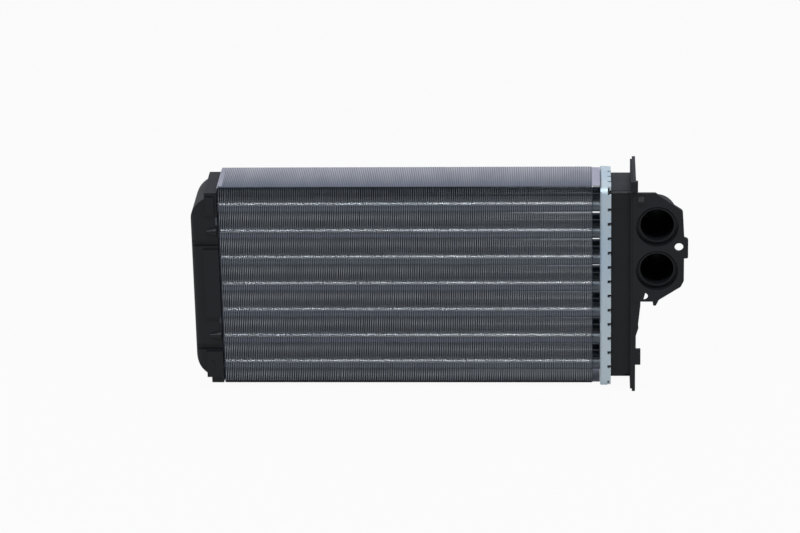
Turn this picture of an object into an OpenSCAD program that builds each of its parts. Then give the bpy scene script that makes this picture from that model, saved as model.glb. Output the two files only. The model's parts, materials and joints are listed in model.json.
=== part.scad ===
// Heater core: a finned bundle of round tubes between two moulded tanks.
// X runs from the plain tank to the port tank, the ports open towards -Y, Z is up.
// Pieces are drawn from the front lower left corner of the fins, then moved to the origin:
// the middle of the whole part, at the level that it stands on.

/* [Fins] */
// Length of the fin stack along the tubes
core_length = 275; // [200:1:340]
// Depth of the fins, front to back
core_depth = 42; // [40:0.5:50]
// Height of the fins
core_height = 157; // [152:1:175]
// Distance from one fin to the next
fin_pitch = 2.75; // [2:0.05:4]
// Thickness of a fin
fin_thickness = 0.25; // [0.15:0.05:0.5]
// Thickness of the folded fin edges that close the top and the bottom
fold_thickness = 0.35; // [0.2:0.05:0.8]
// How far a fin stands out past its folded edge
fin_lip = 0.4; // [0.2:0.1:1]
// Radius of the fins' lower and upper corners
fin_corner = 2; // [0.5:0.5:4]

/* [Tubes] */
// Outer diameter of a tube
tube_diameter = 8.7; // [6:0.1:9.5]
// Wall of a tube
tube_wall = 0.5; // [0.3:0.1:1]
// Tubes in a level, front to back
tube_rows = 3; // [2:1:3]
// Levels of tubes, bottom to top
tube_levels = 7; // [5:1:7]
// Distance between levels
level_pitch = 21; // [18:0.1:21.5]
// Height of the lowest level above the fins' lower edge
first_level = 13.2; // [12.5:0.1:15]
// Wall of the collars that space the fins around a tube
collar_wall = 0.35; // [0.2:0.05:0.6]
// How far a tube stands out of its gasket
tube_end = 1.2; // [0.5:0.1:2]

/* [End plates] */
// Thickness of the plates that close the fin stack
end_plate = 0.4; // [0.3:0.1:0.7]
// Width of the edge that the port end's plate turns over the open tubes
turned_edge = 5.5; // [3:0.1:5.5]
// Width of the edge that the plain end's plate turns over the first fins
turned_back_edge = 3; // [1:0.1:4]

/* [Port end header] */
// Open length of tube between the fins and the header
open_tubes = 6; // [5:0.5:12]
// Thickness of the header's sheet
header_sheet = 1.3; // [0.8:0.1:1.6]
// How far the header stands out past the fins, front and back
header_overhang = 5.5; // [5:0.1:8]
// Height of the header
header_height = 157.8; // [150:0.1:180]
// How far the header reaches below the fins
header_drop = 1; // [0:0.1:3]
// Radius of the header's rolled edges
header_roll = 2.4; // [1.5:0.1:3]
// Radius of the header's corners seen from its end
header_corner = 5; // [3:0.5:8]
// Width of the lip that is folded over the tank's foot
crimp_lip = 1.7; // [1:0.1:1.8]
// Crimp tabs along a long side
crimps_long = 13; // [6:1:16]
// Crimp tabs along a short side
crimps_short = 4; // [2:1:6]
// Width of the slot between two tabs
crimp_slot = 2.6; // [1:0.1:4]
// How far the slots reach down the header's wall
crimp_slot_reach = 1.2; // [0.5:0.1:2]

/* [Gaskets] */
// Thickness of a gasket between the header and the tank
gasket_thickness = 2.6; // [2:0.1:3]
// Gap between a gasket or a tank's foot and the wall around it
seat_gap = 0.2; // [0.1:0.05:0.4]

/* [Port tank] */
// Length of the tank's body past the header
tank_length = 14.3; // [12:0.1:24]
// Wall of both tanks
tank_wall = 2.4; // [1.6:0.1:3]
// Thickness of the tank's foot that the header holds
foot_thickness = 2.8; // [2:0.1:3.5]
// Distance from the top of the fins down to the top of the tank's body
tank_top_drop = 4; // [3.5:0.1:8]
// Distance from the bottom of the fins up to the tank's body
tank_bottom_rise = 4.5; // [3:0.1:6]
// Radius of the tank body's outer corners
tank_corner = 3; // [1:0.5:5]
// Thickness of the wall that parts the two flows
partition_wall = 2.2; // [1.5:0.1:3]
// Distance from the gasket to the upright stretch of that wall
partition_step = 7; // [5:0.1:8]

/* [Mounting flange] */
// Thickness of each of the flange's two layers
flange_layer = 1.9; // [1.5:0.1:3]
// How far the flange stands above the fins
flange_rise = 6.1; // [4:0.1:12]
// How far the flange reaches below the fins
flange_drop = 4.5; // [3:0.1:10]
// How far the inner layer stays back from the outer one's ends
flange_step = 2.1; // [1:0.1:3]
// How far the flange stands out past the fins at the back
flange_back = 5; // [3:0.1:8]
// Length of the stop at the flange's upper front corner
stop_length = 5.2; // [4:0.1:8]
// How far the stop stands out of the flange's front edge
stop_proud = 2; // [1:0.1:4]
// Height of the stop
stop_height = 8.2; // [4:0.1:12]
// Thickness of the web that stiffens the flange below the ports
web_thickness = 3; // [2:0.1:5]
// Height of the tab at the foot of that web
web_tab = 12.2; // [6:0.1:20]
// Distance from the bottom of the fins up to that tab
web_tab_rise = 16.9; // [10:0.1:30]

/* [Ports] */
// Distance from the tank's flange to the axis of the ports
port_reach = 15.6; // [14.6:0.1:22]
// Distance from the top of the fins down to the upper port
port_drop = 29.7; // [27:0.1:40]
// Distance between the two ports
port_pitch = 34.6; // [33:0.1:40]
// Radius of a port's bore
port_radius = 12.25; // [9:0.05:12.5]
// Length of a port's bore
port_bore_length = 21; // [8:0.5:24]
// Radius of the seat in a port's mouth
seat_radius = 15.5; // [14:0.1:15.8]
// Depth of the seat in a port's mouth
seat_depth = 5; // [3:0.1:6]
// How far the port plate stands out past the fins
plate_overhang = 6; // [5.5:0.1:10]
// Thickness of the port plate
plate_thickness = 2.5; // [2:0.1:4]
// How far the port plate stands out past the flange's front edge
plate_proud = 0.8; // [0.4:0.1:1.5]
// How far the port plate reaches above the upper port
plate_above = 26.2; // [24:0.1:30]
// How far the port plate reaches below the lower port
plate_below = 24.6; // [22:0.1:30]
// How far the port plate reaches past the axis of the ports
plate_reach = 19.8; // [19.5:0.1:24]
// How far the tab beside the screw hole stands out of the port plate
plate_tab = 2.9; // [1:0.1:5]
// How much wider than the bore the round room behind it is
port_relief = 0.65; // [0.6:0.05:1]
// Wall around a port's bore and the room behind it
port_wall = 2; // [1.6:0.1:2.2]
// Width of the lip around a bore, on the floor of its seat
port_lip = 1.3; // [0.6:0.1:2]
// Height of that lip
port_lip_height = 1; // [0.4:0.1:2]
// Height of the duct from a chamber to the tank
duct_height = 14; // [8:0.5:17]
// Radius of the screw hole in the port plate
screw_radius = 3.25; // [2:0.05:3.4]
// Depth of the duct from a chamber to the tank
duct_depth = 10; // [6:0.5:11]
// Distance from the axis of the ports to the screw hole
screw_reach = 16; // [15.5:0.1:16.6]

/* [Plain tank] */
// Length of the tank past the fins
plain_length = 20; // [18:0.5:30]
// Length of the tank's skirt
skirt_length = 9; // [8:0.1:11]
// How far the skirt stands out past the fins, front and back
skirt_overhang = 1.5; // [1.2:0.1:4]
// Wall of the skirt
skirt_wall = 1.9; // [1.5:0.1:2]
// Width of the ledge that the gasket lies on, inside the skirt
plain_ledge = 1.8; // [1:0.1:3]
// Distance from the top of the fins down to the skirt
skirt_top_drop = 4; // [3:0.1:5]
// Distance from the bottom of the fins up to the skirt
skirt_bottom_rise = 0.9; // [0:0.1:2]
// Radius of the tank's upper and lower bends
bend_radius = 20; // [19:0.5:30]
// Distance from the skirt's upper end down to the middle of the upper bend
upper_bend_drop = 22.4; // [20:0.1:30]
// Distance from the skirt's lower end up to the middle of the lower bend
lower_bend_rise = 23.8; // [20:0.1:30]
// Radius of the tank's upright edges
plain_edge = 4.5; // [3:0.5:10]
// Thickness of the plain end's header plate
plain_header = 1.4; // [1:0.1:2]
// Gap between the fins' end plate and the tank
plain_gap = 0.6; // [0.5:0.1:2]
// Width of a lug on the header plate
lug_width = 6; // [3:0.1:9]
// How far a lug stands out of the skirt
lug_proud = 0.4; // [0.2:0.1:1]
// Distance between the lugs
lug_pitch = 39.3; // [30:0.1:42]
// Height of the lowest lug above the fins' lower edge
first_lug = 13; // [11:0.1:18]
// Height of the locating slots in the tank
slot_height = 4.6; // [3:0.1:7]
// Depth of the locating slots
slot_depth = 1.7; // [1:0.1:1.9]
// Heights of the locating slots above the fins' lower edge
slot_levels = [27.8, 111];
// How far the panels stand out of the plain tank
panel_proud = 1.6; // [0.4:0.1:2]
// Heights of the two cone shaped stops above the fins' lower edge
cone_levels = [39.3, 122.5];
// Radius of a cone shaped stop at its thick end
cone_radius = 3.6; // [2:0.1:4]

/* [Hidden] */
$fn = 48;
// A cut runs this much past the face it opens.
cut = 1;
// A union sinks this much, so that no two faces only touch.
sink = 0.5;

// Along X, from the plain tank to the ports
fins_start = 0;
fins_end = core_length;
plain_face = fins_start - end_plate - plain_gap;
plain_header_end = plain_face - plain_header;
plain_gasket_end = plain_header_end - gasket_thickness;
plain_tube_end = plain_gasket_end - tube_end;
plain_tank_end = plain_face - plain_length;
skirt_end = plain_face - skirt_length;
header_face = fins_end + open_tubes;
header_floor = header_face + header_sheet;
foot_start = header_floor + gasket_thickness;
foot_end = foot_start + foot_thickness;
header_end = foot_end + header_sheet;
port_tube_end = foot_start + tube_end;
flange_start = header_end + tank_length;
flange_middle = flange_start + flange_layer;
flange_end = flange_middle + flange_layer;
port_x = flange_end + port_reach;

// Along Y, from front to back
row_pitch = core_depth / tube_rows;
row_start = row_pitch / 2;
header_front = -header_overhang;
header_back = core_depth + header_overhang;
plate_front = -plate_overhang;
flange_front = plate_front + plate_proud;
plate_back = plate_front + plate_thickness;
flange_rear = core_depth + flange_back;
seat_floor = plate_front + seat_depth;
bore_floor = seat_floor + port_bore_length;
stop_front = plate_front - stop_proud;
skirt_front = -skirt_overhang;
skirt_back = core_depth + skirt_overhang;
// Width of the plain tank's edge, out to the opening that the tubes end in
plain_seat = skirt_wall + plain_ledge;

// Along Z, from bottom to top
header_low = -header_drop;
header_high = header_low + header_height;
tank_low = tank_bottom_rise;
tank_high = core_height - tank_top_drop;
flange_low = -flange_drop;
flange_high = core_height + flange_rise;
upper_port = core_height - port_drop;
lower_port = upper_port - port_pitch;
ports_middle = (upper_port + lower_port) / 2;
screw_z = ports_middle + 1.2;
skirt_low = skirt_bottom_rise;
skirt_high = core_height - skirt_top_drop;

// The plate's outline is set out from the two ports and the flange.
plate_left = flange_start + 1.6;
plate_right = port_x + plate_reach;
plate_top = upper_port + plate_above;
plate_bottom = lower_port - plate_below;
tab_right = plate_right + plate_tab;

// The part stands with its middle over the origin.
middle_x = (plain_tank_end + tab_right) / 2;
middle_y = (stop_front + header_back) / 2;

tube_names = [for (row = [1:tube_rows]) for (level = [1:tube_levels]) str("tube_", row, "_", level)];

function row_y(row) = row_start + (row - 1) * row_pitch;
function level_z(level) = first_level + (level - 1) * level_pitch;

// Moves a piece from the fins' corner to the origin.
module place() {
    translate([-middle_x, -middle_y, -flange_low]) children();
}

// Draws a flat shape, given as (Y, Z), as a plate from one X to another.
module plate_x(from, to) {
    translate([from, 0, 0]) rotate([90, 0, 90]) linear_extrude(to - from) children();
}

// Draws a flat shape, given as (X, Z), as a plate from one Y to another.
module plate_y(from, to) {
    translate([0, to, 0]) rotate([90, 0, 0]) linear_extrude(to - from) children();
}

// Draws a flat shape, given as (X, Y), as a plate from one Z to another.
module plate_z(from, to) {
    translate([0, 0, from]) linear_extrude(to - from) children();
}

module rounded(low, high, radius) {
    size = high - low;
    translate([low[0] + radius, low[1]]) square([size[0] - 2 * radius, size[1]]);
    translate([low[0], low[1] + radius]) square([size[0], size[1] - 2 * radius]);
    for (x = [low[0] + radius, high[0] - radius])
        for (y = [low[1] + radius, high[1] - radius])
            translate([x, y]) circle(radius);
}

// One corner of an outline as the points of a round bend
function bend(a, b, c, radius, steps = 6) =
    let (
        u = (a - b) / norm(a - b),
        v = (c - b) / norm(c - b),
        half = acos(u * v) / 2,
        middle = b + (u + v) / norm(u + v) * radius / sin(half),
        from = b + u * radius / tan(half) - middle,
        to = b + v * radius / tan(half) - middle
    )
    [for (i = [0:steps]) let (d = from * (1 - i / steps) + to * i / steps) middle + radius * d / norm(d)];

// An outline whose corners are bent to the radius given with each point
function bent(points) =
    let (n = len(points))
    [for (i = [0:n - 1]) let (a = points[(i + n - 1) % n], b = points[i], c = points[(i + 1) % n])
        each b[2] == 0 ? [[b[0], b[1]]] : bend([a[0], a[1]], [b[0], b[1]], [c[0], c[1]], b[2])];

module box(low, high) {
    translate(low) cube(high - low);
}

// One circle at every tube, as (Y, Z)
module tube_circles(radius) {
    for (row = [1:tube_rows])
        for (level = [1:tube_levels])
            translate([row_y(row), level_z(level)]) circle(radius);
}

// Straight holes for all tubes, from one X to another
module tube_holes(from, to) {
    plate_x(from, to) tube_circles(tube_diameter / 2);
}

// The gaps between the fins run from front to back. The folded edges close them above and below,
// and the collars around the tubes reach from each fin to the next.
module fin_gap() {
    gap = fin_pitch - fin_thickness;
    closed = fin_lip + fold_thickness;
    plate_x(0, gap) difference() {
        translate([-cut, closed]) square([core_depth + 2 * cut, core_height - 2 * closed]);
        tube_circles(tube_diameter / 2 + collar_wall);
    }
    plate_x(0, gap) translate([-cut, core_height - fin_lip]) square([core_depth + 2 * cut, cut + fin_lip]);
    plate_x(0, gap) translate([-cut, -cut]) square([core_depth + 2 * cut, cut + fin_lip]);
}

// The first fins' lip is left out where the end plate's edge is turned over it.
module fin_pack() {
    gaps = floor((core_length - fin_thickness) / fin_pitch);
    start = (core_length - gaps * fin_pitch + fin_thickness) / 2;
    color([0.72, 0.75, 0.78]) place() difference() {
        plate_x(fins_start, fins_end) rounded([0, 0], [core_depth, core_height], fin_corner);
        for (i = [0:gaps - 1]) translate([start + i * fin_pitch, 0, 0]) fin_gap();
        tube_holes(fins_start - cut, fins_end + cut);
        box([fins_start - cut, -cut, core_height - end_plate],
            [fins_start + turned_back_edge, core_depth + cut, core_height + cut]);
    }
}

module tube(row, level) {
    color([0.8, 0.82, 0.84]) place() translate([0, row_y(row), level_z(level)]) difference() {
        plate_x(plain_tube_end, port_tube_end) circle(tube_diameter / 2);
        plate_x(plain_tube_end - cut, port_tube_end + cut) circle(tube_diameter / 2 - tube_wall);
    }
}

// A sheet with a hole for every tube, and rounded corners like the fins
module pierced_sheet(from) {
    difference() {
        plate_x(from, from + end_plate) rounded([0, 0], [core_depth, core_height], fin_corner);
        tube_holes(from - cut, from + end_plate + cut);
    }
}

// The plain end's sheet turns its upper edge back over the first fins.
module end_plate_left() {
    color([0.78, 0.8, 0.84]) place() {
        pierced_sheet(fins_start - end_plate);
        box([fins_start - end_plate, fin_corner, core_height - end_plate],
            [fins_start + turned_back_edge, core_depth - fin_corner, core_height]);
    }
}

// The other end's sheet turns its upper and lower edges towards the header.
module end_plate_right() {
    edge_end = fins_end + end_plate + turned_edge;
    color([0.78, 0.78, 0.86]) place() {
        pierced_sheet(fins_end);
        for (z = [0, core_height - end_plate])
            box([fins_end, fin_corner, z], [edge_end, core_depth - fin_corner, z + end_plate]);
    }
}

// Outline of the plain tank's pocket, as (Y, Z), less a gap all round
module pocket(gap) {
    low = [skirt_front + skirt_wall + gap, skirt_low + skirt_wall + gap];
    high = [skirt_back - skirt_wall - gap, skirt_high - skirt_wall - gap];
    rounded(low, high, 2);
}

// Lugs on the plain end's header plate, as (Y, Z), with a gap all round for their windows
module lugs(gap) {
    reach = skirt_overhang + lug_proud + gap;
    for (z = [first_lug:lug_pitch:skirt_high - lug_width])
        translate([-reach, z - lug_width / 2 - gap]) square([core_depth + 2 * reach, lug_width + 2 * gap]);
}

module header_left() {
    color([0.78, 0.8, 0.84]) place() difference() {
        plate_x(plain_header_end, plain_face) union() {
            pocket(seat_gap);
            lugs(0);
        }
        tube_holes(plain_header_end - cut, plain_face + cut);
    }
}

module gasket_left() {
    color([0.08, 0.08, 0.09]) place() difference() {
        plate_x(plain_gasket_end, plain_header_end) pocket(seat_gap);
        tube_holes(plain_gasket_end - cut, plain_header_end + cut);
    }
}

// The header's outside: the shape common to its outlines seen along X, Y and Z,
// which rolls the edges of its floor
module header_outside() {
    intersection() {
        plate_x(header_face, header_end)
            rounded([header_front, header_low], [header_back, header_high], header_corner);
        plate_y(header_front, header_back)
            rounded([header_face, header_low], [header_end + header_roll, header_high], header_roll);
        plate_z(header_low, header_high)
            rounded([header_face, header_front], [header_end + header_roll, header_back], header_roll);
    }
}

// Outline of the room inside the header's wall, as (Y, Z), less a gap all round
module header_room(gap) {
    inset = header_sheet + gap;
    low = [header_front + inset, header_low + inset];
    high = [header_back - inset, header_high - inset];
    rounded(low, high, header_corner - inset);
}

// Slots between the crimp tabs, and the open corners where no lip is folded
module crimp_slots() {
    from = foot_end - crimp_slot_reach;
    long = header_height - 2 * header_corner;
    short = header_back - header_front - 2 * header_corner;
    for (i = [1:crimps_long - 1]) {
        z = header_low + header_corner + i * long / crimps_long - crimp_slot / 2;
        box([from, header_front - cut, z], [header_end + cut, header_back + cut, z + crimp_slot]);
    }
    for (i = [1:crimps_short - 1]) {
        y = header_front + header_corner + i * short / crimps_short - crimp_slot / 2;
        box([from, y, header_low - cut], [header_end + cut, y + crimp_slot, header_high + cut]);
    }
    for (y = [header_front - cut, header_back - header_corner])
        for (z = [header_low - cut, header_high - header_corner])
            box([from, y, z], [header_end + cut, y + header_corner + cut, z + header_corner + cut]);
}

module header_right() {
    color([0.7, 0.76, 0.82]) place() difference() {
        header_outside();
        plate_x(header_floor, foot_end) header_room(0);
        plate_x(foot_end - cut, header_end + cut) lip_opening();
        crimp_slots();
        tube_holes(header_face - cut, header_floor + cut);
    }
}

// The opening inside the folded lips, as (Y, Z)
module lip_opening() {
    lip = header_sheet + crimp_lip;
    translate([header_front + lip, header_low + lip])
        square([header_back - header_front - 2 * lip, header_height - 2 * lip]);
}

module gasket_right() {
    color([0.08, 0.08, 0.09]) place() difference() {
        plate_x(header_floor, foot_start) header_room(seat_gap);
        tube_holes(header_floor - cut, foot_start + cut);
    }
}

// Side outline of the plain tank as (X, Z): a straight skirt, and a body with two round bends
module plain_outline(inset) {
    left = plain_tank_end + inset;
    radius = bend_radius - inset;
    middle = left + radius;
    upper = skirt_high - upper_bend_drop;
    lower = skirt_low + lower_bend_rise;
    intersection() {
        translate([left, lower - radius]) square([plain_face - left, upper - lower + 2 * radius]);
        union() {
            translate([left, lower]) square([plain_face - left, upper - lower]);
            translate([middle, upper]) circle(radius);
            translate([middle, lower]) circle(radius);
        }
    }
}

module plain_solid() {
    intersection() {
        plate_y(skirt_front, skirt_back) plain_outline(0);
        plate_z(skirt_low, skirt_high)
            rounded([plain_tank_end, skirt_front], [plain_face + plain_edge, skirt_back], plain_edge);
        box([plain_tank_end, skirt_front, skirt_low], [plain_face, skirt_back, skirt_high]);
    }
    box([skirt_end, skirt_front, skirt_low], [plain_face, skirt_back, skirt_high]);
}

// The room inside the plain tank, which runs out to the gasket
module plain_cavity() {
    low = [skirt_front + plain_seat, skirt_low + plain_seat];
    high = [skirt_back - plain_seat, skirt_high - plain_seat];
    intersection() {
        plate_y(low[0], high[0]) plain_outline(tank_wall);
        plate_z(low[1], high[1])
            rounded([plain_tank_end + tank_wall, low[0]], [plain_face + plain_edge, high[0]], plain_edge - tank_wall);
        box([plain_tank_end, low[0], low[1]], [plain_face, high[0], high[1]]);
    }
    box([plain_gasket_end - cut, low[0], low[1]], [plain_face + cut, high[0], high[1]]);
}

// A raised panel on the tank's front, from one height to another
module panel(length, from, to) {
    box([plain_face - length, skirt_front - panel_proud, from], [plain_face, skirt_front + sink, to]);
}

// Panels between and beside the slots, cone shaped stops, a clip seat and a nib
module plain_front() {
    low_slot = slot_levels[0];
    high_slot = slot_levels[1];
    panel(11.6, low_slot + slot_height + 22, high_slot - 2.4);
    panel(12.2, skirt_low + 5, low_slot - 1.1);
    box([plain_face - 8.4, skirt_front - 1.4, skirt_high - 17.4], [plain_face - 2, skirt_front + sink, skirt_high - 3.2]);
    box([plain_face - 8.6, skirt_front - 2, low_slot - 16], [plain_face - 6.4, skirt_front + sink, low_slot - 9]);
    for (z = cone_levels)
        translate([plain_face - 8.6, skirt_front, z]) rotate([0, 90, 0])
            cylinder(h = 8, r1 = cone_radius / 3, r2 = cone_radius);
}

// The slots run round the front and the back, and the windows take the header plate's lugs.
module tank_left() {
    color([0.2, 0.22, 0.25]) place() difference() {
        union() {
            plain_solid();
            plain_front();
        }
        plain_cavity();
        plate_x(plain_gasket_end, plain_face + cut) pocket(0);
        plate_x(plain_header_end - seat_gap, plain_face + cut) lugs(seat_gap);
        for (z = slot_levels) {
            box([plain_tank_end - cut, stop_front, z], [plain_face + cut, skirt_front + slot_depth, z + slot_height]);
            box([plain_tank_end - cut, skirt_back - slot_depth, z], [plain_face + cut, skirt_back + cut, z + slot_height]);
        }
    }
}

// Outline of the port plate as (X, Z), with the tab beside the screw hole
module port_plate_outline() {
    polygon(bent([
        [plate_left, plate_bottom, 0],
        [port_x - 0.5, plate_bottom, 1],
        [port_x + 17.6, lower_port - 12.8, 3],
        [plate_right, lower_port - 8, 3],
        [plate_right, screw_z - 8.8, 0],
        [tab_right, screw_z - 8.8, 1.2],
        [tab_right, screw_z + 6.4, 1.6],
        [plate_right, screw_z + 7.6, 0],
        [plate_right - 1.2, upper_port + 12.4, 3],
        [port_x + 12.7, upper_port + 16.4, 1],
        [port_x - 1.5, plate_top, 2],
        [plate_left, plate_top, 2.5]
    ]));
    polygon(bent([
        [port_x - 3.2, plate_bottom + 1, 0],
        [port_x - 2.6, plate_bottom - 3.2, 0.8],
        [port_x - 0.6, plate_bottom - 3.2, 0.8],
        [port_x + 1.4, plate_bottom + 1, 0]
    ]));
}

// A web along the flange's front edge, as (X, Z): it tapers down from the port plate to a small tab.
module web_outline() {
    x = flange_end;
    polygon(bent([
        [x - 1, plate_bottom + 1, 0],
        [x - 1, web_tab_rise, 0],
        [x + 3.9, web_tab_rise, 0.5],
        [x + 3.9, web_tab_rise + web_tab, 0.5],
        [x + 0.4, web_tab_rise + web_tab, 0],
        [x + 0.4, plate_bottom - 27.7, 1],
        [x + 2.3, plate_bottom - 21.6, 0.8],
        [x + 2, plate_bottom - 19.2, 0.8],
        [x + 3.7, plate_bottom - 2.7, 0],
        [x + 3.7, plate_bottom + 1, 0]
    ]));
}

// The wall around a port: wide around its seat, then straight, with a round end
module port_housing(z) {
    outer = port_radius + port_relief + port_wall;
    translate([port_x, plate_front + sink, z]) rotate([-90, 0, 0])
        cylinder(h = seat_depth + tank_wall, r = seat_radius + tank_wall);
    translate([port_x, plate_front + sink, z]) rotate([-90, 0, 0])
        cylinder(h = bore_floor - plate_front - sink, r = outer);
    translate([port_x, bore_floor, z]) sphere(outer);
    box([flange_middle, plate_front + sink, z - duct_height / 2 - tank_wall],
        [port_x, bore_floor + duct_depth + tank_wall, z + duct_height / 2 + tank_wall]);
}

// The seat, the bore and its round end, and the duct that leads to the tank
module port_hollow(z) {
    translate([port_x, plate_front - cut, z]) rotate([-90, 0, 0]) difference() {
        cylinder(h = seat_depth + cut, r = seat_radius);
        translate([0, 0, seat_depth + cut - port_lip_height])
            cylinder(h = port_lip_height + cut, r = port_radius + port_lip);
    }
    translate([port_x, plate_front, z]) rotate([-90, 0, 0])
        cylinder(h = seat_depth + port_bore_length, r = port_radius);
    translate([port_x, bore_floor, z]) sphere(port_radius + port_relief);
    box([flange_start - cut, bore_floor + sink, z - duct_height / 2],
        [port_x, bore_floor + duct_depth, z + duct_height / 2]);
}

// A shallow recess in the tank's front, outside a round corner beside the flange, as (X, Z)
module corner_recess() {
    radius = 6.5;
    low = tank_low + 1.2;
    right = flange_start - 0.4;
    difference() {
        translate([right - radius, low]) square(radius);
        translate([right - radius, low + radius]) circle(radius);
    }
}

module tank_cavity() {
    box([foot_start - cut, tank_wall, tank_low + tank_wall],
        [flange_start, core_depth - tank_wall, tank_high - tank_wall]);
}

// The wall between the two flows steps from between two levels of tubes up to between the ports.
module partition() {
    low = level_z(tube_levels - 3) + level_pitch / 2;
    high = (upper_port + lower_port) / 2;
    step = foot_start + partition_step;
    half = partition_wall / 2;
    box([foot_start, tank_wall - sink, low - half], [step + partition_wall, core_depth - tank_wall + sink, low + half]);
    box([step, tank_wall - sink, low - half], [step + partition_wall, core_depth - tank_wall + sink, high + half]);
    box([step, tank_wall - sink, high - half], [flange_start + sink, core_depth - tank_wall + sink, high + half]);
}

// The flange in two layers, with its stop, its web and the peg on the port plate
module flange() {
    stop_low = flange_high - stop_height;
    box([flange_start, flange_front, flange_low + flange_step], [flange_middle, flange_rear, flange_high - flange_step]);
    box([flange_middle - sink, flange_front, flange_low], [flange_end, flange_rear, flange_high]);
    box([flange_start, stop_front, stop_low], [flange_start + stop_length, flange_front + sink, flange_high]);
    plate_y(flange_front, flange_front + web_thickness) web_outline();
    plate_x(flange_end + 1.6, flange_end + 6) peg();
}

// The peg on the port plate, as (Y, Z), with a sloping top
module peg() {
    top = plate_top - 2.6;
    polygon([
        [plate_front + sink, top - 4.4],
        [plate_front + sink, top],
        [plate_front, top],
        [stop_front, top - 3.2],
        [stop_front, top - 4.4]
    ]);
}

// The hole between the port plate and the flange, as (X, Z), flat on its far side
module relief_hole() {
    intersection() {
        translate([flange_end + 6.2, plate_bottom + 4]) circle(3);
        translate([flange_end + 5.4, plate_bottom]) rotate(-14) square([3, 9]);
    }
}

module tank_right() {
    color([0.2, 0.22, 0.25]) place() {
        difference() {
            union() {
                plate_x(foot_start, foot_end) header_room(seat_gap);
                plate_x(foot_end - sink, flange_start + sink)
                    rounded([0, tank_low], [core_depth, tank_high], tank_corner);
                flange();
                plate_y(plate_front, plate_back) port_plate_outline();
                port_housing(upper_port);
                port_housing(lower_port);
            }
            tank_cavity();
            port_hollow(upper_port);
            port_hollow(lower_port);
            translate([port_x + screw_reach, plate_front - cut, screw_z]) rotate([-90, 0, 0])
                cylinder(h = plate_thickness + 2 * cut, r = screw_radius);
            plate_y(plate_front - cut, flange_front + web_thickness + cut) relief_hole();
            plate_y(-cut, tank_wall - 0.8) corner_recess();
        }
        partition();
    }
}

fin_pack();
end_plate_left();
end_plate_right();
header_left();
header_right();
gasket_left();
gasket_right();
tank_left();
tank_right();
for (row = [1:tube_rows])
    for (level = [1:tube_levels])
        tube(row, level);
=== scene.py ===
# %% [markdown]
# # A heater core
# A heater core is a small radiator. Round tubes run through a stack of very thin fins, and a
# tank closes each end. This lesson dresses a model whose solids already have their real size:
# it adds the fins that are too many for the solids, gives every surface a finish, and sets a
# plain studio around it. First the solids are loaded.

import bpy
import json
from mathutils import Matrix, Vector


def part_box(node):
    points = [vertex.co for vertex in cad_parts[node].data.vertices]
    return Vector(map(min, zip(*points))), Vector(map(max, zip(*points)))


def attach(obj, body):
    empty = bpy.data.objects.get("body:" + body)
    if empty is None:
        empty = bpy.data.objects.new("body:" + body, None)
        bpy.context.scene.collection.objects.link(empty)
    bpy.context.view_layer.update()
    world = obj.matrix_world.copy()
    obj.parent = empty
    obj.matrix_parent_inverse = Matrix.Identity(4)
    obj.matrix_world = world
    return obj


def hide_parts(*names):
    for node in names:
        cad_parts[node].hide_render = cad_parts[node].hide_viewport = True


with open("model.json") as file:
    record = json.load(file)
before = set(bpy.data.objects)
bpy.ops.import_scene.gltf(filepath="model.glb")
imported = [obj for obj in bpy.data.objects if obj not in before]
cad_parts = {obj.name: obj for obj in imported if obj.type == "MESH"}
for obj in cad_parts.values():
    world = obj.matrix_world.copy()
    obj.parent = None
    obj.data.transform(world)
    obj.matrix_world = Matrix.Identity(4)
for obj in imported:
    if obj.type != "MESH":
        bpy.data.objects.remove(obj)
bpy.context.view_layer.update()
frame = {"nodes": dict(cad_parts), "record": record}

# %% [markdown]
# ## Units and measures
# Blender counts in metres, but thin sheet is easier to think of in millimetres, so every length
# below is written times MM. Places aren't typed in: they are measured from the boxes of the
# solids, so the fins would follow if the solids were made longer.

# %% The libraries, the unit and the fins' box
import json
import math

import bmesh
import bpy
import numpy as np
from mathutils import Matrix, Vector

MM = 0.001


def node_box(name):
    low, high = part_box(name)
    return Vector(low), Vector(high)


fins_low, fins_high = node_box("fin_pack")
print("the fins fill", (fins_high - fins_low) / MM, "mm")

# %% [markdown]
# ## The camera
# The photograph was taken with a long lens from a little above the front. Its place was found
# by matching eight corners of the fins and the header, so the numbers below are real distances
# from the front lower left corner of the fins. A long lens keeps the tubes nearly parallel.

# %% The camera
CAMERA_PLACE = Vector((264.6, -2285.1, 1018.3)) * MM
CAMERA_PITCH = math.radians(-21.99)
CAMERA_YAW = math.radians(3.29)
CAMERA_ROLL = math.radians(-1.32)
LENS = 150.15
SENSOR = 36


def set_camera():
    data = bpy.data.cameras.new("camera")
    data.lens = LENS
    data.sensor_width = SENSOR
    camera = bpy.data.objects.new("camera", data)
    bpy.context.scene.collection.objects.link(camera)
    camera.location = fins_low + CAMERA_PLACE
    level = math.radians(90)
    turn = (
        Matrix.Rotation(CAMERA_YAW, 4, "Z")
        @ Matrix.Rotation(level + CAMERA_PITCH, 4, "X")
        @ Matrix.Rotation(CAMERA_ROLL, 4, "Z")
    )
    camera.rotation_euler = turn.to_euler()
    bpy.context.scene.camera = camera
    return camera


camera = set_camera()
print("camera at", tuple(round(v, 3) for v in camera.location))

# %% [markdown]
# ## The room
# Bare metal shows what is around it, so the room matters more than usual. It is a half-bright
# grey behind the core, which the folded foil on top mirrors, and nearly dark on the camera's
# side, which keeps the spaces between the fins deep. A ramp over the direction does both.

# %% The room
ROOM_DARK = (0.05, 0.053, 0.06)
ROOM_LIGHT = (0.45, 0.465, 0.51)
ROOM_FADE = (-0.3, 0.4)


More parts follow.
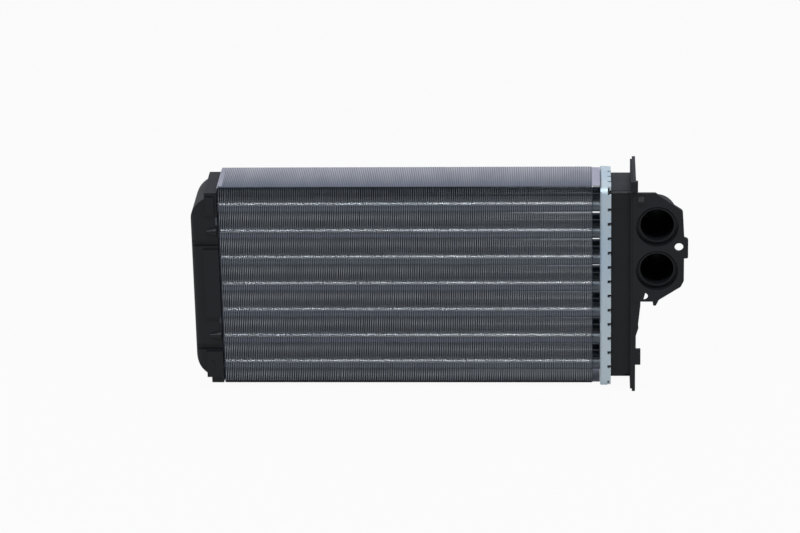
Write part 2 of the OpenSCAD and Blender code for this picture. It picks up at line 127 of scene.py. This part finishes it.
def set_world():
    world = bpy.data.worlds.new("studio")
    bpy.context.scene.world = world
    world.use_nodes = True
    tree = world.node_tree
    tree.nodes.clear()
    out = tree.nodes.new("ShaderNodeOutputWorld")
    way = tree.nodes.new("ShaderNodeTexCoord")
    axes = tree.nodes.new("ShaderNodeSeparateXYZ")
    tree.links.new(way.outputs["Generated"], axes.inputs[0])
    behind = tree.nodes.new("ShaderNodeMapRange")
    behind.inputs["From Min"].default_value = ROOM_FADE[0]
    behind.inputs["From Max"].default_value = ROOM_FADE[1]
    tree.links.new(axes.outputs["Y"], behind.inputs["Value"])
    shade = tree.nodes.new("ShaderNodeValToRGB")
    shade.color_ramp.elements[0].position = 0.0
    shade.color_ramp.elements[0].color = (*ROOM_DARK, 1)
    shade.color_ramp.elements[1].position = 1.0
    shade.color_ramp.elements[1].color = (*ROOM_LIGHT, 1)
    tree.links.new(behind.outputs["Result"], shade.inputs["Fac"])
    light = tree.nodes.new("ShaderNodeBackground")
    tree.links.new(shade.outputs["Color"], light.inputs["Color"])
    tree.links.new(light.outputs[0], out.inputs["Surface"])


bpy.context.scene.view_settings.view_transform = "Standard"
set_world()
print("the room goes from", ROOM_DARK, "in front to", ROOM_LIGHT, "behind")

# %% [markdown]
# ## The floor
# The floor is a mid grey that takes the core's shadow. Light Path tells who is looking: for the
# camera and through glass the floor is nearly white, in reflections only a fifth of that. That
# gives a white page under the core without light that would wash out its dark plastic.

# %% The floor
FLOOR_SIZE = 8.0
FLOOR_GREY = (0.34, 0.34, 0.35, 1)
FLOOR_ROUGHNESS = 0.9
WHITE_SHARES = (("Is Camera Ray", 0.95), ("Is Glossy Ray", 0.2), ("Is Transmission Ray", 0.95))


def white_share(tree):
    """Adds up how white the floor is for the ray that looks at it."""
    path = tree.nodes.new("ShaderNodeLightPath")
    total = None
    for ray, share in WHITE_SHARES:
        part = tree.nodes.new("ShaderNodeMath")
        part.operation = "MULTIPLY_ADD"
        part.inputs[1].default_value = share
        part.inputs[2].default_value = 0.0
        tree.links.new(path.outputs[ray], part.inputs[0])
        if total:
            tree.links.new(total, part.inputs[2])
        total = part.outputs[0]
    return total


def floor_white():
    material = bpy.data.materials.new("floor_white")
    material.use_nodes = True
    tree = material.node_tree
    body = tree.nodes["Principled BSDF"]
    body.inputs["Base Color"].default_value = FLOOR_GREY
    body.inputs["Roughness"].default_value = FLOOR_ROUGHNESS
    glow = tree.nodes.new("ShaderNodeEmission")
    glow.inputs["Strength"].default_value = 1.0
    mix = tree.nodes.new("ShaderNodeMixShader")
    tree.links.new(white_share(tree), mix.inputs["Fac"])
    tree.links.new(body.outputs[0], mix.inputs[1])
    tree.links.new(glow.outputs[0], mix.inputs[2])
    tree.links.new(mix.outputs[0], tree.nodes["Material Output"].inputs["Surface"])
    return material


def add_floor():
    mesh = bpy.data.meshes.new("floor")
    h = FLOOR_SIZE / 2
    mesh.from_pydata([(-h, -h, 0), (h, -h, 0), (h, h, 0), (-h, h, 0)], [], [(0, 1, 2, 3)])
    floor = bpy.data.objects.new("floor", mesh)
    bpy.context.scene.collection.objects.link(floor)
    mesh.materials.append(floor_white())


add_floor()
print("a floor", FLOOR_SIZE, "m wide")

# %% [markdown]
# ## The lamps
# Two long softboxes lie along the tubes, like the strip lights of a product studio. A round tube
# shrinks a lamp to a line, so the upper one is narrow and strong and draws the bright line along
# each tube, and the front one is wide and weak and only lifts the fronts.

# %% The two softboxes
LAMP_AIM = (0, 0, 0.08)
LAMP_LENGTH = 5.0


def add_softbox(name, place, width, power):
    data = bpy.data.lights.new(name, "AREA")
    data.shape = "RECTANGLE"
    data.size, data.size_y = LAMP_LENGTH, width
    data.energy = power
    lamp = bpy.data.objects.new(name, data)
    bpy.context.scene.collection.objects.link(lamp)
    lamp.location = place
    lamp.rotation_euler = (Vector(LAMP_AIM) - Vector(place)).to_track_quat("-Z", "Y").to_euler()
    print(name, "at", place, "with", power, "W")


add_softbox("top_softbox", (0.0, -0.6, 1.5), width=0.18, power=37)
add_softbox("front_softbox", (0.0, -1.9, 1.5), width=0.5, power=4)

# %% [markdown]
# ## Small helpers for finishes
# Every finish below is a function that returns a material, and most of them need the same few
# nodes: a noise that can be stretched along the rolling direction, a ramp of two colours, a
# range of numbers, and a bump. A helper for each keeps the finishes short enough to read.

# %% Noise, ramps and bumps


def new_material(name):
    material = bpy.data.materials.new(name)
    material.use_nodes = True
    tree = material.node_tree
    return material, tree, tree.nodes["Principled BSDF"]


def noise(tree, scale, stretch=(1, 1, 1), detail=4.0, rough=0.5):
    place = tree.nodes.new("ShaderNodeTexCoord")
    mapping = tree.nodes.new("ShaderNodeMapping")
    mapping.inputs["Scale"].default_value = stretch
    texture = tree.nodes.new("ShaderNodeTexNoise")
    texture.inputs["Scale"].default_value = scale
    texture.inputs["Detail"].default_value = detail
    texture.inputs["Roughness"].default_value = rough
    tree.links.new(place.outputs["Object"], mapping.inputs["Vector"])
    tree.links.new(mapping.outputs["Vector"], texture.inputs["Vector"])
    return texture.outputs["Fac"]


def ramp(tree, value, low, high, start=0.3, end=0.7):
    node = tree.nodes.new("ShaderNodeValToRGB")
    node.color_ramp.elements[0].position = start
    node.color_ramp.elements[0].color = low
    node.color_ramp.elements[1].position = end
    node.color_ramp.elements[1].color = high
    tree.links.new(value, node.inputs["Fac"])
    return node.outputs["Color"]


def between(tree, value, low, high, start=0.3, end=0.7):
    node = tree.nodes.new("ShaderNodeMapRange")
    node.inputs["From Min"].default_value = start
    node.inputs["From Max"].default_value = end
    node.inputs["To Min"].default_value = low
    node.inputs["To Max"].default_value = high
    tree.links.new(value, node.inputs["Value"])
    return node.outputs["Result"]


def bump(tree, shader, value, strength, distance):
    node = tree.nodes.new("ShaderNodeBump")
    node.inputs["Strength"].default_value = strength
    node.inputs["Distance"].default_value = distance
    tree.links.new(value, node.inputs["Height"])
    tree.links.new(node.outputs["Normal"], shader.inputs["Normal"])


print("helpers for noise, ramps, ranges and bumps")

# %% [markdown]
# The finishes of the fins change with the place on the fin, so they also need the axes of a
# position, a sum with one number, and a way to mix or multiply two colours.

# %% Places, sums and mixes of colours


def axes_of(tree, vector):
    node = tree.nodes.new("ShaderNodeSeparateXYZ")
    tree.links.new(vector, node.inputs[0])
    return node.outputs


def place_axes(tree):
    return axes_of(tree, tree.nodes.new("ShaderNodeTexCoord").outputs["Object"])


def facing_axes(tree):
    return axes_of(tree, tree.nodes.new("ShaderNodeNewGeometry").outputs["Normal"])


def sum_of(tree, operation, value, number=0.0):
    node = tree.nodes.new("ShaderNodeMath")
    node.operation = operation
    node.inputs[1].default_value = number
    tree.links.new(value, node.inputs[0])
    return node.outputs[0]


def mixed(tree, first, second, share=None, blend="MIX"):
    node = tree.nodes.new("ShaderNodeMix")
    node.data_type = "RGBA"
    node.blend_type = blend
    if share:
        tree.links.new(share, node.inputs["Factor"])
    else:
        node.inputs["Factor"].default_value = 1.0
    tree.links.new(first, node.inputs[6])
    tree.links.new(second, node.inputs[7])
    return node.outputs[2]


def multiply(tree, first, second):
    return mixed(tree, first, second, blend="MULTIPLY")


print("helpers for places, sums and mixes")

# %% [markdown]
# ## Where the tubes are
# The fins get a paler band between two levels of tubes, a painted highlight. To place it, the tubes
# are measured first, from the boxes of their solids.

# %% Measure the tubes
tube_boxes = [node_box(name) for name in frame["nodes"] if name.startswith("tube_")]
tube_levels = sorted({round(low.z, 5) for low, high in tube_boxes})
level_pitch = tube_levels[1] - tube_levels[0]
print("tubes:", len(tube_boxes), "on", len(tube_levels), "levels,", round(level_pitch / MM, 2), "mm apart")

# %% [markdown]
# ## The foil of the fins
# A fin's cut edge is fresh bright aluminium. Further in, the foil sees little light, and that shade
# is painted into its colour. The band between two levels of tubes is a painted highlight, drawn as
# a change of tone, which is enough from a step away. The distance from the middle of the fin picks
# edge or inside, and PINGPONG repeats the band at each level.

# %% Fin foil
EDGE_DEPTH = 1.3 * MM
HIGHLIGHT_BAND_DROP = 2.2 * MM
HIGHLIGHT_BAND_WIDTH = 1.6 * MM


def fin_foil():
    """Bright at the cut edges, with painted shade further in and a painted highlight band between two levels
    of tubes.
    """
    material, tree, shader = new_material("fin_foil")
    shader.inputs["Metallic"].default_value = 1.0
    coarse = noise(tree, 60, (1, 1, 3))
    fine = noise(tree, 540, (1, 1, 3), 2.0)
    place = place_axes(tree)
    middle = (fins_low.y + fins_high.y) / 2
    half = (fins_high.y - fins_low.y) / 2
    from_middle = sum_of(tree, "ABSOLUTE", sum_of(tree, "SUBTRACT", place["Y"], middle))
    edge = between(tree, from_middle, 0.0, 1.0, half - EDGE_DEPTH, half)
    lowest_highlight_band = min(low.z for low, high in tube_boxes) - HIGHLIGHT_BAND_DROP
    height = sum_of(tree, "SUBTRACT", place["Z"], lowest_highlight_band)
    level = sum_of(tree, "PINGPONG", height, level_pitch / 2)
    bright = ramp(tree, coarse, (0.84, 0.88, 0.93, 1), (0.93, 0.97, 1.0, 1))
    # Painted highlight: a paler band between two levels of tubes, on the cut edges and further in.
    edge_band_highlight = ramp(tree, level, (1, 1, 1, 1), (0.7, 0.72, 0.77, 1), 0.0, HIGHLIGHT_BAND_WIDTH)
    # Painted shade: the foil away from the cut edges is darkened, as little light reaches it.
    painted_shade_inside = ramp(tree, coarse, (0.2, 0.225, 0.25, 1), (0.32, 0.355, 0.39, 1))
    inside_band_highlight = ramp(tree, level, (2.6, 2.6, 2.6, 1), (1, 1, 1, 1), 0.0, HIGHLIGHT_BAND_WIDTH)
    colour = mixed(tree, multiply(tree, painted_shade_inside, inside_band_highlight), multiply(tree, bright, edge_band_highlight), edge)
    tree.links.new(colour, shader.inputs["Base Color"])
    tree.links.new(between(tree, fine, 0.32, 0.45), shader.inputs["Roughness"])
    return material


finishes = {"fin_metal": fin_foil()}
print("finish:", finishes["fin_metal"].name)

# %% [markdown]
# ## The foil of the folded edges
# Seen from above, every fold tucks under the next one, and the shade there is painted as a fine
# dark line per fin. The count of fins gives the pitch, and FRACT turns the place along the tubes into
# a place within one pitch. Painted light makes the folds lighter towards the back.

# %% Folded foil
FIN_COUNT = 201
fin_pitch = (fins_high.x - fins_low.x) / FIN_COUNT


def fold_foil():
    """Painted light, brighter towards the back, and painted shade where one fold tucks under the next."""
    material, tree, shader = new_material("fold_foil")
    shader.inputs["Metallic"].default_value = 1.0
    place = place_axes(tree)
    depth = between(tree, place["Y"], 0.0, 1.0, fins_low.y, fins_high.y)
    # Painted light: the folds are darker at the front and lighter towards the back.
    painted_light_gradient = ramp(tree, depth, (0.3, 0.34, 0.42, 1), (1.0, 1.0, 1.0, 1), 0.0, 0.9)
    within = sum_of(tree, "FRACT", sum_of(tree, "MULTIPLY", place["X"], 1 / fin_pitch))
    # Painted shade: a dark line where one fold tucks under the next.
    tuck_shade = ramp(tree, within, (1, 1, 1, 1), (0.42, 0.43, 0.5, 1), 0.35, 0.8)
    mottle = ramp(tree, noise(tree, 90, (1, 0.3, 1)), (0.82, 0.83, 0.86, 1), (1, 1, 1, 1))
    tree.links.new(multiply(tree, multiply(tree, painted_light_gradient, tuck_shade), mottle), shader.inputs["Base Color"])
    tree.links.new(between(tree, noise(tree, 500), 0.3, 0.42), shader.inputs["Roughness"])
    return material


finishes["fold_metal"] = fold_foil()
print("a fold every", round(fin_pitch / MM, 3), "mm")

# %% [markdown]
# ## Plain bare metal
# Tubes, headers and plates are all bare aluminium that differs in tone, gloss and grain. One
# function makes them: a coarse noise varies the tone, a fine one the gloss and the surface.
# Drawn tubes have their grain along their length, the pressed header across it. The left
# header sits deep inside the skirt of the plain tank, and its shade is painted as darker metal.

# %% Tube, header and shaded sheet


def metal(name, dark, light, roughness, grain, stretch, bump_height):
    material, tree, shader = new_material(name)
    shader.inputs["Metallic"].default_value = 1.0
    coarse = noise(tree, grain, stretch)
    fine = noise(tree, grain * 9, stretch, 2.0)
    tree.links.new(ramp(tree, coarse, dark, light), shader.inputs["Base Color"])
    tree.links.new(between(tree, fine, *roughness), shader.inputs["Roughness"])
    bump(tree, shader, fine, 0.35, bump_height)
    return material


# Painted shade: the bare tube wall is much darker than the collars of the same aluminium.
finishes["tube_metal"] = metal(
    "tube_wall",
    dark=(0.16, 0.18, 0.2, 1),
    light=(0.24, 0.27, 0.3, 1),
    roughness=(0.46, 0.56),
    grain=40,
    stretch=(0.2, 2, 2),
    bump_height=0.02 * MM,
)
finishes["header_metal"] = metal(
    "header_sheet",
    dark=(0.72, 0.86, 0.97, 1),
    light=(0.88, 0.97, 1.0, 1),
    roughness=(0.62, 0.74),
    grain=70,
    stretch=(1, 1, 0.2),
    bump_height=0.04 * MM,
)
finishes["shaded_sheet"] = metal(
    "shaded_sheet",
    dark=(0.1, 0.11, 0.13, 1),
    light=(0.18, 0.2, 0.23, 1),
    roughness=(0.5, 0.6),
    grain=70,
    stretch=(1, 1, 1),
    bump_height=0.02 * MM,
)
print("bare metals: tube, header and shaded sheet")

# %% [markdown]
# ## Metal with painted shade on one side
# The collars around the tubes are lit from above, while the fins beside them keep the light from
# their undersides, so the undersides get painted shade. The end plates are bright on top and get
# painted shade on their sawn front edge. Both take their tone from the way the surface faces,
# which Geometry's Normal gives.

# %% Collars and end plates


def collar_foil():
    """Bright where it faces up, with painted shade underneath."""
    material, tree, shader = new_material("collar_foil")
    shader.inputs["Metallic"].default_value = 1.0
    # Painted shade: the collar is darkened where its surface faces down.
    painted_shade_by_facing = ramp(tree, facing_axes(tree)["Z"], (0.16, 0.18, 0.22, 1), (1, 1, 1, 1), 0.3, 0.75)
    grain = ramp(tree, noise(tree, 40, (0.2, 2, 2)), (0.76, 0.82, 0.88, 1), (0.92, 0.97, 1.0, 1))
    fine = noise(tree, 360, (0.2, 2, 2), 2.0)
    tree.links.new(multiply(tree, painted_shade_by_facing, grain), shader.inputs["Base Color"])
    tree.links.new(between(tree, fine, 0.4, 0.5), shader.inputs["Roughness"])
    bump(tree, shader, fine, 0.35, 0.02 * MM)
    return material


def end_sheet():
    """Bright on the top edge, with painted shade on the sawn front edge."""
    material, tree, shader = new_material("end_sheet")
    shader.inputs["Metallic"].default_value = 1.0
    # Painted shade: the plate is darkened where its surface does not face up.
    painted_shade_by_facing = ramp(tree, facing_axes(tree)["Z"], (0.16, 0.17, 0.2, 1), (1, 1, 1, 1), 0.3, 0.8)
    mottle = ramp(tree, noise(tree, 50, (1, 0.3, 1)), (0.66, 0.66, 0.76, 1), (0.8, 0.8, 0.9, 1))
    tree.links.new(multiply(tree, painted_shade_by_facing, mottle), shader.inputs["Base Color"])
    tree.links.new(between(tree, noise(tree, 450), 0.4, 0.55), shader.inputs["Roughness"])
    return material


finishes["collar_metal"] = collar_foil()
finishes["plate_metal"] = end_sheet()
print("metals by facing: collars and end plates")

# %% [markdown]
# ## Plastic and rubber
# The tanks are moulded in black plastic with glass fibre, which leaves a fine grain and cloudy
# patches of gloss. The gaskets are matt rubber with some dust on it.

# %% Plastic and rubber


def tank_plastic():
    material, tree, shader = new_material("tank_plastic")
    cloud = noise(tree, 35, (1, 1, 1), 5.0)
    grain = noise(tree, 1500, (1, 1, 1), 2.0)
    black = ramp(tree, cloud, (0.004, 0.006, 0.009, 1), (0.008, 0.01, 0.014, 1))
    tree.links.new(black, shader.inputs["Base Color"])
    tree.links.new(between(tree, cloud, 0.38, 0.52), shader.inputs["Roughness"])
    bump(tree, shader, grain, 0.25, 0.05 * MM)
    return material


def gasket_rubber():
    material, tree, shader = new_material("gasket_rubber")
    dust = noise(tree, 300, (1, 1, 1), 3.0)
    grey = ramp(tree, dust, (0.012, 0.012, 0.013, 1), (0.03, 0.03, 0.032, 1))
    tree.links.new(grey, shader.inputs["Base Color"])
    shader.inputs["Roughness"].default_value = 0.8
    bump(tree, shader, dust, 0.3, 0.1 * MM)
    return material


finishes["tank_plastic"] = tank_plastic()
finishes["gasket_rubber"] = gasket_rubber()
print("finishes:", ", ".join(finishes))

# %% [markdown]
# ## Dress the solids
# The record of the model says which material slot each solid has. The finishes carry the same
# names, so one loop dresses them all, without a change to any mesh.

# %% Put the finishes on the solids
# Painted shade: the left header, deep inside the tank's skirt, gets the dark shaded sheet.
SHADED = ("header_left",)
slot_of = {row["node"]: row["material_slot"] for row in frame["record"]["subparts"]}
for name, solid in frame["nodes"].items():
    for place in solid.material_slots:
        place.material = finishes["shaded_sheet" if name in SHADED else slot_of[name]]
print("finished", len(slot_of), "solids")

# %% [markdown]
# ## The shape of one fin
# A real core has about two hundred fins, each a tenth of a millimetre thick. All have the same
# outline, with round corners, and stand a little behind the folds at the front, more so under
# the top ones. One fin is drawn flat, and everything after this only copies it.

# %% The outline of one fin
FIN_CORNER = 2.0 * MM
CORNER_STEPS = 4
FIN_SETBACK = 0.6 * MM
TOP_LEAN = 2.4 * MM
TOP_LEAN_HEIGHT = 6.5 * MM
OUTLINE_STEP = 3 * MM


def front_setback(z):
    """The front edge stands a little behind the folds, and leans back under the top ones."""
    under_top = max(0.0, 1 - (fins_high.z - z) / TOP_LEAN_HEIGHT)
    return FIN_SETBACK + TOP_LEAN * under_top


def rounded_corners():
    y0, y1, z0, z1 = fins_low.y, fins_high.y, fins_low.z, fins_high.z
    points = []
    for y, z, start in ((y0, z0, 180), (y1, z0, 270), (y1, z1, 0), (y0, z1, 90)):
        cy = y + FIN_CORNER * (1 if y == y0 else -1)
        cz = z + FIN_CORNER * (1 if z == z0 else -1)
        for i in range(CORNER_STEPS + 1):
            a = math.radians(start + 90 / CORNER_STEPS * i)
            points.append((cy + FIN_CORNER * math.cos(a), cz + FIN_CORNER * math.sin(a)))
    return points


def fin_outline():
    """The fin's edge as points (y, z), rounded at its corners, anticlockwise."""
    points = rounded_corners()
    full = []
    for p, q in zip(points, points[1:] + points[:1]):
        parts = max(1, round(math.dist(p, q) / OUTLINE_STEP))
        full += [(p[0] + (q[0] - p[0]) * k / parts, p[1] + (q[1] - p[1]) * k / parts) for k in range(parts)]
    return [(y + (front_setback(z) if y < fins_low.y + FIN_CORNER else 0), z) for y, z in full]


print("outline:", len(fin_outline()), "points")

# %% [markdown]
# ## Holes for the tubes
# Each tube needs its hole. Triangle fill takes the outline and the holes together and covers
# what lies between them, which is simpler and cleaner than cutting the holes out afterwards.
# The edges that have a face on one side only are the rim, where thickness will be added.

# %% The plan of one fin with its holes
HOLE_SIDES = 14
COLLAR_WALL = 0.35 * MM
HOLE_LAP = 0.05 * MM

tube_axes = [((low.y + high.y) / 2, (low.z + high.z) / 2) for low, high in tube_boxes]
tube_radius = (tube_boxes[0][1].z - tube_boxes[0][0].z) / 2
collar_radius = tube_radius + COLLAR_WALL


def fin_plan():
    """Points and triangles of one flat fin with a hole at every tube, and its edge loops."""
    bm = bmesh.new()
    loops = [fin_outline()]
    r = collar_radius - HOLE_LAP
    turn = [2 * math.pi * i / HOLE_SIDES for i in range(HOLE_SIDES)]
    for y, z in tube_axes:
        loops.append([(y + r * math.cos(a), z + r * math.sin(a)) for a in turn])
    for loop in loops:
        verts = [bm.verts.new((0, y, z)) for y, z in loop]
        for a, b in zip(verts, verts[1:] + verts[:1]):
            bm.edges.new((a, b))
    bmesh.ops.triangle_fill(bm, use_beauty=True, edges=bm.edges[:])
    bm.verts.index_update()
    points = np.array([v.co[:] for v in bm.verts])
    triangles = np.array([[v.index for v in f.verts] for f in bm.faces])
    rim = np.array([[e.verts[0].index, e.verts[1].index] for e in bm.edges if len(e.link_faces) == 1])
    bm.free()
    return points, triangles, rim


plan_points, plan_triangles, plan_rim = fin_plan()
print("one fin:", len(plan_points), "points and", len(plan_triangles), "triangles a side")

# %% Make a piece


def mesh_from(name, points, faces):
    mesh = bpy.data.meshes.new(name)
    mesh.from_pydata([tuple(p) for p in points], [], [tuple(int(i) for i in f) for f in faces])
    mesh.update()
    return mesh


def link(name, mesh, finish):
    piece = bpy.data.objects.new(name, mesh)
    bpy.context.scene.collection.objects.link(piece)
    mesh.materials.append(finishes[finish])
    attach(piece, "root")
    return piece


print("pieces ride on the one body of the core")

# %% [markdown]
# ## Two hundred fins
# The plan is copied once per fin, left and right face, with a strip along the rim. Foil is never
# quite flat, so each copy gets three soft bends of its own over its height. The front and back
# edges are a little thicker than the foil, so that they catch the light as cut edges with a burr
# do. The random numbers have a fixed start, so the fins come out the same every time.

# %% Copy the fin along the tubes
FIN_THICKNESS = 0.12 * MM
HEM_THICKNESS = 0.34 * MM
HEM_REACH = 0.01 * MM
BENDS = ((0.08 * MM, 0.055), (0.04 * MM, 0.024), (0.02 * MM, 0.013))
BEND_SPREAD = 0.7
FIN_GROUPS = 3
FIRST_SEED = 7


def fin_wave(rng, z):
    """How far foil stands off its plane: soft bends over its height."""
    total = np.zeros_like(z)
    for size, length in BENDS:
        total += size * rng.normal(0, BEND_SPREAD) * np.sin(2 * np.pi * (z / length + rng.random()))
    return total


def fin_positions():
    return [fins_low.x + fin_pitch * (i + 0.5) for i in range(FIN_COUNT)]


def fin_group(name, first, last):
    rng = np.random.default_rng(FIRST_SEED + first)
    xs = fin_positions()
    points, faces = [], []
    count = len(plan_points)
    y, z = plan_points[:, 1], plan_points[:, 2]
    front = np.array([front_setback(value) for value in z])
    hem = np.minimum(y - fins_low.y - front, fins_high.y - y) < HEM_REACH
    half = np.where(hem, HEM_THICKNESS, FIN_THICKNESS) / 2
    for i in range(first, last):
        x = xs[i] + fin_wave(rng, z)
        left = len(points)
        right = left + count
        points += list(zip(x - half, y, z)) + list(zip(x + half, y, z))
        faces += [(left + a, left + c, left + b) for a, b, c in plan_triangles]
        faces += [(right + a, right + b, right + c) for a, b, c in plan_triangles]
        faces += [(left + a, left + b, right + b, right + a) for a, b in plan_rim]
    return link(name, mesh_from(name, points, faces), "fin_metal")


ends = [round(FIN_COUNT * i / FIN_GROUPS) for i in range(FIN_GROUPS + 1)]
fin_pieces = [fin_group(f"fins_{i + 1}", ends[i], ends[i + 1]) for i in range(FIN_GROUPS)]
for piece in fin_pieces:
    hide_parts("fin_pack")
    print(piece.name, len(piece.data.polygons), "faces")

# %% [markdown]
# ## The folded edges
# The upper and lower edge of each fin is folded over to the next fin and tucked under its fold,
# which closes the core at the top and the bottom. A fold is a closed strip with a knee: nearly
# level at first, then falling under its neighbour. The first and last ones are half as wide.

# %% The folded edges
FOLD_THICKNESS = 0.1 * MM
FOLD_INSET = 0.1 * MM
FOLD_LAP = (-0.06 * MM, 0.05 * MM)
FOLD_KNEE = 0.45
KNEE_FALL = 0.15
FOLD_FALL = 0.3 * MM
END_GAP = 0.06 * MM
TOP_FOLD_DROP = 0.12 * MM
BOTTOM_FOLD_RISE = 0.35 * MM


def fold_strip(x, width, z):
    """The folded edge from one fin to the next, closed, and tucked under the next fin's fold."""
    y0, y1 = fins_low.y + FOLD_INSET, fins_high.y - FOLD_INSET
    bends = ((FOLD_LAP[0], 0), (FOLD_KNEE * width, -KNEE_FALL * FOLD_FALL), (width + FOLD_LAP[1], -FOLD_FALL))
    corners = []
    for dx, dz in bends:
        corners += [(x + dx, y, z + dz + t) for y in (y0, y1) for t in (0, FOLD_THICKNESS)]
    faces = []
    for k in (0, 4):
        faces += [(k, k + 4, k + 5, k + 1), (k + 2, k + 3, k + 7, k + 6)]
        faces += [(k + 1, k + 5, k + 7, k + 3), (k, k + 2, k + 6, k + 4)]
    faces += [(0, 1, 3, 2), (8, 10, 11, 9)]
    return corners, faces


def folds(name, z):
    xs = fin_positions()
    points, faces = [], []
    first = (fins_low.x + END_GAP, fin_pitch / 2)
    last = (xs[-1], fin_pitch / 2 - END_GAP)
    for x, width in [first] + [(x, fin_pitch) for x in xs[:-1]] + [last]:
        corners, strip = fold_strip(x, width, z)
        start = len(points)
        points += corners
        faces += [tuple(start + k for k in f) for f in strip]
    return link(name, mesh_from(name, points, faces), "fold_metal")


top_folds = folds("top_folds", fins_high.z - TOP_FOLD_DROP)
bottom_folds = folds("bottom_folds", fins_low.z + BOTTOM_FOLD_RISE)
for piece in (top_folds, bottom_folds):
    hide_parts("fin_pack")
print("folds:", len(top_folds.data.polygons), "faces at each edge")

# %% [markdown]
# ## The collars
# When a fin is punched, a short collar is drawn out around each hole. It grips the tube and
# reaches the next fin, so together the collars read as a sleeve along the tube. A sleeve is four
# rings of points: outside and inside at both ends. Smooth shading makes it round, and the sharp
# angle keeps its ends crisp.

# %% The collars around the tubes
COLLAR_SIDES = 20
SHARP_ANGLE = math.radians(40)


def collars():
    points, faces = [], []
    for y, z in tube_axes:
        start = len(points)
        for x in (fins_low.x, fins_high.x):
            for r in (collar_radius, tube_radius):
                for i in range(COLLAR_SIDES):
                    a = 2 * math.pi * i / COLLAR_SIDES
                    points.append((x, y + r * math.cos(a), z + r * math.sin(a)))
        rings = [[start + k * COLLAR_SIDES + i for i in range(COLLAR_SIDES)] for k in range(4)]
        for a, b in ((0, 2), (2, 3), (3, 1), (1, 0)):
            for i in range(COLLAR_SIDES):
                j = (i + 1) % COLLAR_SIDES
                faces.append((rings[a][i], rings[b][i], rings[b][j], rings[a][j]))
    mesh = mesh_from("tube_collars", points, faces)
    mesh.shade_smooth()
    mesh.set_sharp_from_angle(angle=SHARP_ANGLE)
    return link("tube_collars", mesh, "collar_metal")


collar_piece = collars()
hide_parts("fin_pack")
print("collars:", len(collar_piece.data.polygons), "faces")
